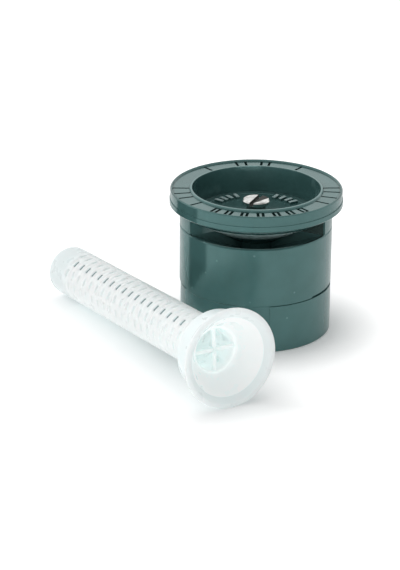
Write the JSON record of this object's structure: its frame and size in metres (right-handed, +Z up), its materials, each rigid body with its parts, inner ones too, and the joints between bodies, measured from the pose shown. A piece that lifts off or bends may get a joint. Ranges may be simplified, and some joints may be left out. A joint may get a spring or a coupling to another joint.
{
  "type": "sprinkler nozzle with filter screen",
  "caption": "Pop-up spray nozzle with a flanged bowl top, a part-circle spray window, a slotted adjusting screw and a threaded base, with its slotted tube filter screen lying beside it.",
  "frame": {"origin": "on the nozzle's axis, in the plane of its open threaded end, which stands on the floor", "axes": "+Z up along the nozzle's axis, -Y out of the middle of the spray window, +X to the right of a viewer who faces the window"},
  "size_m": [0.0437, 0.0465, 0.0215],
  "materials": {
    "grey_green_plastic": "moulded, slightly satin",
    "stainless_steel": "bright",
    "clear_white_plastic": "translucent, smooth"
  },
  "bodies": {
    "nozzle": {"threaded_base": "grey_green_plastic", "nozzle_body": "grey_green_plastic", "deflector_cap": "grey_green_plastic", "filter_screen": "clear_white_plastic"},
    "screw": {"adjusting_screw": "stainless_steel"}
  },
  "joints": [
    {"name": "screw_turn", "type": "hinge", "parent": "nozzle", "child": "screw", "pos_m": [0, 0, 0.0188], "axis": [0, 0, 1], "range_deg": [-720, 1080]}
  ]
}
